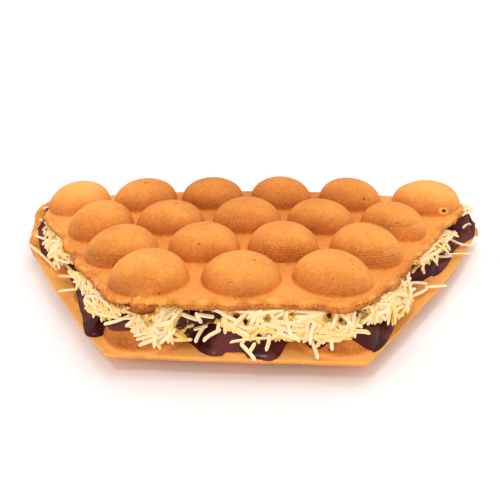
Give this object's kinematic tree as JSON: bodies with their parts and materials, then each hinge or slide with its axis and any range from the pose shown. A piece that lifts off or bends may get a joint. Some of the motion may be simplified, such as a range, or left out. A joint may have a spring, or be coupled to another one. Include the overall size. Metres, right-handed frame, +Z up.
{
  "type": "bubble waffle",
  "caption": "Bubble waffle folded in half over a layer of chocolate sauce and a heap of grated cheese, tapering from the fold at the back to the open front.",
  "frame": {"origin": "on the surface the waffle lies on, under the middle of its bounding box", "axes": "+X along the fold, +Y from the open front towards the fold at the back, +Z up"},
  "size_m": [0.232, 0.1373, 0.0399],
  "materials": {
    "baked_waffle": "golden brown baked crust, dull with a slight sheen on the bubbles",
    "dark_chocolate": "thick glossy dark chocolate sauce",
    "pale_cheese": "pale yellow grated cheese, slightly waxy"
  },
  "bodies": {
    "root": {"waffle": "baked_waffle", "chocolate_sauce": "dark_chocolate", "grated_cheese": "pale_cheese"}
  },
  "joints": []
}
